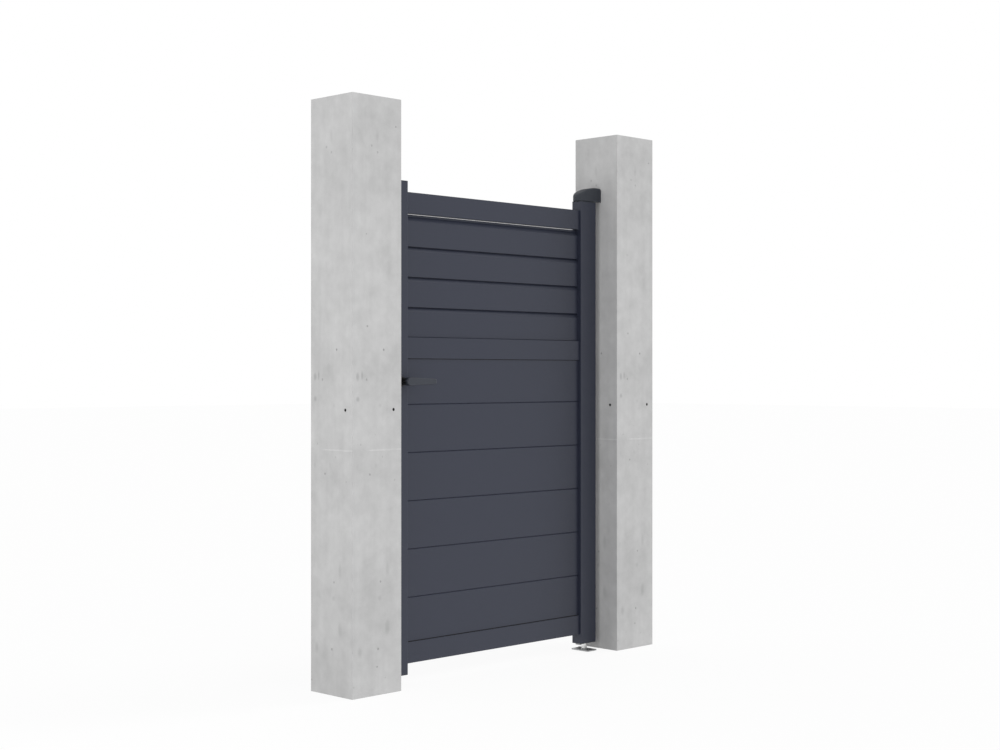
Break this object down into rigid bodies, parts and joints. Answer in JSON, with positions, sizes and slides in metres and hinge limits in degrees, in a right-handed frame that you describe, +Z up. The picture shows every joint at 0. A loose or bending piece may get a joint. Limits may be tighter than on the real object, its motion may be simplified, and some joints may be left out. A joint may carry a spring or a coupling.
{
  "type": "pedestrian gate",
  "caption": "Pedestrian gate: a hinged aluminium leaf with louvres over tongue-and-groove boards, lever handle, top bracket and floor pivot, hung between square concrete pillars.",
  "frame": {"origin": "centre of the hinge pillar's base, on the ground", "axes": "+X along the gate towards the hinge side, seen from the front, +Y to the back, where the leaf opens to, +Z up"},
  "size_m": [1.434, 0.2, 1.846],
  "materials": {
    "concrete": "matte",
    "powder_coat": "matte",
    "end_plastic": "satin",
    "steel": "satin",
    "handle_black": "satin",
    "buffer_rubber": "matte"
  },
  "bodies": {
    "posts": {"latch_pillar": "concrete", "hinge_pillar": "concrete", "upper_hinge_cover": "end_plastic", "upper_hinge_bracket": "steel", "upper_pivot_pin": "steel", "floor_pivot_plate": "steel", "floor_pivot_pin": "steel", "strike_keep": "steel", "stop_buffer": "buffer_rubber"},
    "leaf": {"latch_stile": "powder_coat", "hinge_stile": "powder_coat", "top_rail": "powder_coat", "middle_rail": "powder_coat", "bottom_rail": "powder_coat", "louvre_1": "powder_coat", "louvre_2": "powder_coat", "louvre_3": "powder_coat", "louvre_4": "powder_coat", "board_1": "powder_coat", "board_2": "powder_coat", "board_3": "powder_coat", "board_4": "powder_coat", "board_5": "powder_coat", "board_6": "powder_coat", "latch_stile_top_cap": "end_plastic", "latch_stile_foot_cap": "end_plastic", "hinge_stile_top_bush": "end_plastic", "hinge_stile_foot_bush": "end_plastic", "lock_case": "steel", "latch_bolt": "steel", "outside_rose": "handle_black", "inside_rose": "handle_black"},
    "handle": {"outside_lever": "handle_black", "inside_lever": "handle_black", "handle_spindle": "steel"}
  },
  "joints": [
    {"name": "gate_swing", "type": "hinge", "parent": "posts", "child": "leaf", "pos_m": [-0.165, 0, 0], "axis": [0, 0, -1], "range_deg": [0, 110]},
    {"name": "handle_turn", "type": "hinge", "parent": "leaf", "child": "handle", "pos_m": [-1.07, 0, 0.966], "axis": [0, 1, 0], "range_deg": [0, 40], "stiffness_Nm_per_rad": 1, "springref_deg": -17.19}
  ]
}
